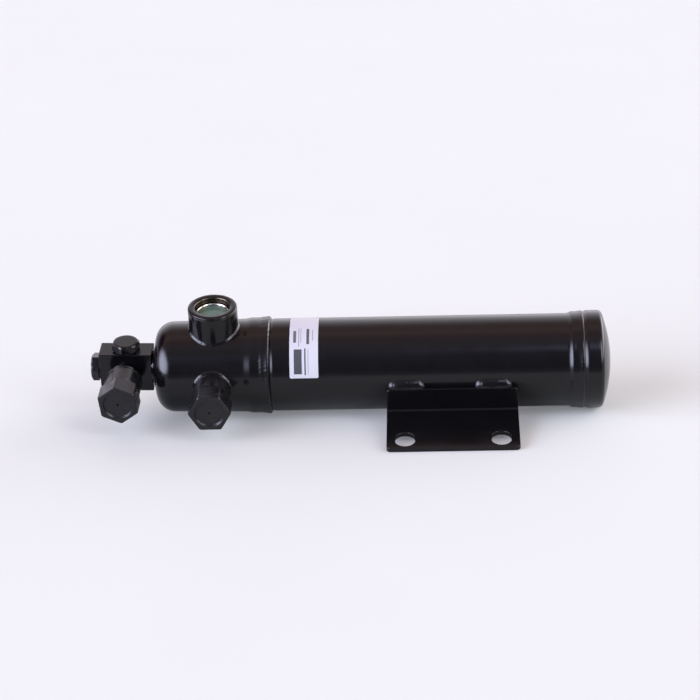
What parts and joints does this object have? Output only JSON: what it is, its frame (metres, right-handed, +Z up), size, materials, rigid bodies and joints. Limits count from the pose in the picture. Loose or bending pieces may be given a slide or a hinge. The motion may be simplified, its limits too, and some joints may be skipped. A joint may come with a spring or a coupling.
{
  "type": "air conditioning receiver drier",
  "caption": "Black steel receiver drier for a vehicle air conditioning circuit, with domed head, sight glass, capped ports, manifold block and folded mounting bracket.",
  "frame": {"origin": "centre of the footprint, on the plane the drier lies on", "axes": "+X along the vessel from the piped head to the end cap, +Z up as it lies, the ports and the bracket face -Y; the vessel is rolled 10.1 degrees forward about its own axis"},
  "size_m": [0.4282, 0.1326, 0.1003],
  "materials": {
    "black_gloss_paint": "gloss black powder coat",
    "black_cap_plastic": "moulded, slight sheen",
    "bare_steel": "machined, plated",
    "plated_ring": "bright plated",
    "black_rubber": "matt",
    "sight_glass": "polished, green-grey",
    "indicator_green": "matt",
    "white_label": "coated sticker",
    "felt_pad": "felt",
    "desiccant_beads": "porous beads",
    "strainer_screen": "woven screen",
    "seal_washer": "bonded seal"
  },
  "bodies": {
    "root": {"bracket_weld_left": "black_gloss_paint", "bracket_weld_right": "black_gloss_paint", "cap_weld": "black_gloss_paint", "charge_spring": "bare_steel", "desiccant_charge": "desiccant_beads", "end_cap": "black_gloss_paint", "end_plug": "black_gloss_paint", "end_plug_seal": "seal_washer", "head_weld": "black_gloss_paint", "inlet_head": "black_gloss_paint", "inlet_pad": "felt_pad", "inlet_plate": "bare_steel", "label": "white_label", "manifold_block": "black_gloss_paint", "moisture_indicator": "indicator_green", "mounting_bracket": "black_gloss_paint", "neck_weld": "black_gloss_paint", "outlet_cap": "black_cap_plastic", "outlet_fitting": "bare_steel", "outlet_neck": "black_gloss_paint", "outlet_oring": "black_rubber", "outlet_pad": "felt_pad", "outlet_plate": "bare_steel", "pickup_tube": "bare_steel", "port_cap": "black_cap_plastic", "port_fitting": "bare_steel", "port_oring": "black_rubber", "port_weld": "black_gloss_paint", "shell_tube": "black_gloss_paint", "sight_glass_boss": "black_gloss_paint", "sight_glass_lens": "sight_glass", "sight_glass_ring": "plated_ring", "sight_glass_seal": "black_rubber", "sight_glass_weld": "black_gloss_paint", "strainer": "strainer_screen", "top_plug": "black_gloss_paint", "top_plug_seal": "seal_washer"}
  },
  "joints": []
}
